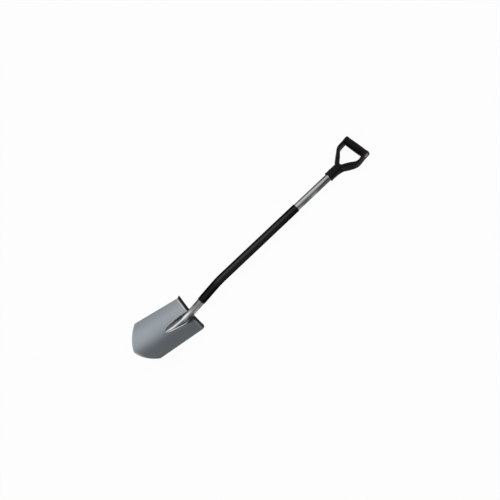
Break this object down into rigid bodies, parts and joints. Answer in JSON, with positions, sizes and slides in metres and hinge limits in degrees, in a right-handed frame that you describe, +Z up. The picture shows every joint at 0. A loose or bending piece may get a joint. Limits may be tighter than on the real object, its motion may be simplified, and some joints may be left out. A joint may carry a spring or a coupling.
{
  "type": "garden spade",
  "caption": "Long garden spade with a dished, bluntly pointed blade, folded treads, a cranked steel tube with a plastic sleeve and a D-shaped handle with a soft grip.",
  "frame": {"origin": "on the floor under the middle of the spade's length, with the spade lying on its back", "axes": "+X runs from the blade to the handle, +Y to the left when looking from the blade to the handle, +Z up, out of the hollow side of the blade"},
  "size_m": [1.261, 0.202, 0.1086],
  "materials": {
    "blade_paint": "satin grey lacquer on steel",
    "shaft_metal": "silver lacquer on steel",
    "weld_metal": "lacquered weld bead",
    "sleeve_plastic": "satin black",
    "handle_plastic": "matt black, fine grain",
    "grip_rubber": "soft matt black",
    "cap_plastic": "satin muted orange",
    "screw_steel": "zinc plated"
  },
  "bodies": {
    "root": {"blade": "blade_paint", "shaft_tube": "shaft_metal", "weld_seam": "weld_metal", "shaft_sleeve": "sleeve_plastic", "handle_yoke": "handle_plastic", "crossbar_grip": "grip_rubber", "grip_cap_left": "cap_plastic", "grip_cap_right": "cap_plastic", "handle_screw": "screw_steel"}
  },
  "joints": []
}
